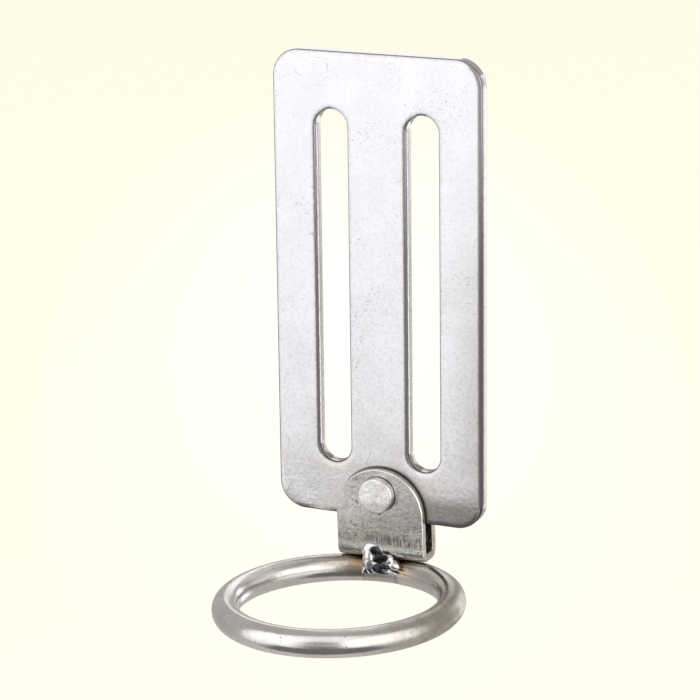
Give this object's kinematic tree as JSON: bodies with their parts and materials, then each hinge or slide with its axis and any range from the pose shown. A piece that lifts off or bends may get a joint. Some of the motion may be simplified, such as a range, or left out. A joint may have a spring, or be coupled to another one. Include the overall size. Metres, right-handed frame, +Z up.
{
  "type": "swivel tool ring",
  "caption": "Belt-threaded steel tool holder: slotted plate with a riveted swivel bracket and a welded ring that stands out in front.",
  "frame": {"origin": "middle of the plate's centre bar, half-way along the belt slots and half-way through the plate's thickness: the point that a belt threaded through both slots passes behind", "axes": "+X to the right of someone who looks at the front, along the belt; +Y back towards the wearer, so the ring stands out towards -Y; +Z up, along the slots"},
  "size_m": [0.0359, 0.0374, 0.0784],
  "materials": {
    "plate_steel": "tumbled stainless sheet, satin, with fine pits and handling scratches",
    "bracket_steel": "tumbled stainless strip, duller, with bending drag marks",
    "rivet_steel": "satin stainless rivet head",
    "ring_steel": "polished stainless round bar, heat tint beside the weld",
    "weld_metal": "bright rippled weld bead"
  },
  "bodies": {
    "plate": {"belt_plate": "plate_steel"},
    "swivel": {"swivel_bracket": "bracket_steel", "swivel_rivet": "rivet_steel", "tool_ring": "ring_steel", "ring_weld": "weld_metal"}
  },
  "joints": [
    {"name": "swivel", "type": "hinge", "parent": "plate", "child": "swivel", "pos_m": [0.0004, 0, -0.02965], "axis": [0, -1, 0], "range_deg": [-31, 27.8]}
  ]
}
